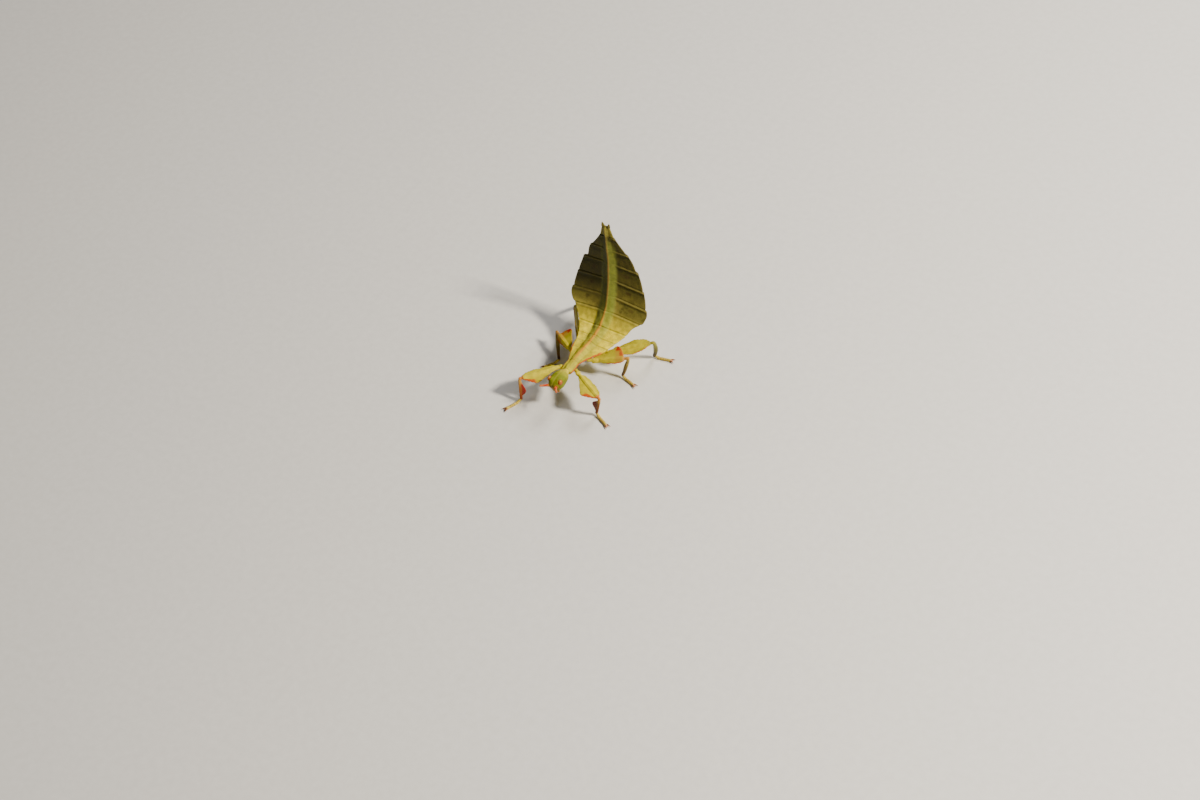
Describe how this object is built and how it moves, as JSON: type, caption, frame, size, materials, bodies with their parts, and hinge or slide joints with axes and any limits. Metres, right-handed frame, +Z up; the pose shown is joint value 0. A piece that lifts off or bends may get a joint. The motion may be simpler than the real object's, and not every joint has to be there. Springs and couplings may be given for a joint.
{
  "type": "leaf insect",
  "caption": "Leaf insect nymph, life size, standing on its feet with a broad leaf-shaped abdomen curled upright and leafy lobes on its legs.",
  "frame": {"origin": "centre of the bounding box's footprint, on the floor plane that the feet rest on", "axes": "+Z up, -Y towards the head, +X to the insect's left"},
  "size_m": [0.019, 0.0288, 0.0228],
  "materials": {
    "abdomen_green": "matt, leaf green shading darker, pale ribs",
    "antenna_pink": "matt, pink",
    "eye_cream": "satin, cream to pink",
    "foot_yellow": "matt, pale yellow",
    "head_green": "matt, leaf green",
    "leg_green": "matt, lime green with red margins",
    "thorax_green": "matt, lime green with a pink midline",
    "tibia_brown": "matt, orange to dark red-brown",
    "tip_green": "matt, pale green"
  },
  "bodies": {
    "root": {"abdomen_10": "tip_green", "abdomen_2": "abdomen_green", "abdomen_3": "abdomen_green", "abdomen_4": "abdomen_green", "abdomen_5": "abdomen_green", "abdomen_6": "abdomen_green", "abdomen_7": "abdomen_green", "abdomen_8": "abdomen_green", "abdomen_9": "abdomen_green", "antenna_left": "antenna_pink", "antenna_right": "antenna_pink", "cercus_left": "tip_green", "cercus_right": "tip_green", "coxa_fore_left": "leg_green", "coxa_fore_right": "leg_green", "coxa_hind_left": "leg_green", "coxa_hind_right": "leg_green", "coxa_mid_left": "leg_green", "coxa_mid_right": "leg_green", "eye_left": "eye_cream", "eye_right": "eye_cream", "femur_fore_left": "leg_green", "femur_fore_right": "leg_green", "femur_hind_left": "leg_green", "femur_hind_right": "leg_green", "femur_mid_left": "leg_green", "femur_mid_right": "leg_green", "head": "head_green", "mesothorax": "thorax_green", "metathorax": "thorax_green", "pronotum": "thorax_green", "tarsus_fore_left": "foot_yellow", "tarsus_fore_right": "foot_yellow", "tarsus_hind_left": "foot_yellow", "tarsus_hind_right": "foot_yellow", "tarsus_mid_left": "foot_yellow", "tarsus_mid_right": "foot_yellow", "tibia_fore_left": "tibia_brown", "tibia_fore_right": "tibia_brown", "tibia_hind_left": "tibia_brown", "tibia_hind_right": "tibia_brown", "tibia_mid_left": "tibia_brown", "tibia_mid_right": "tibia_brown"}
  },
  "joints": []
}
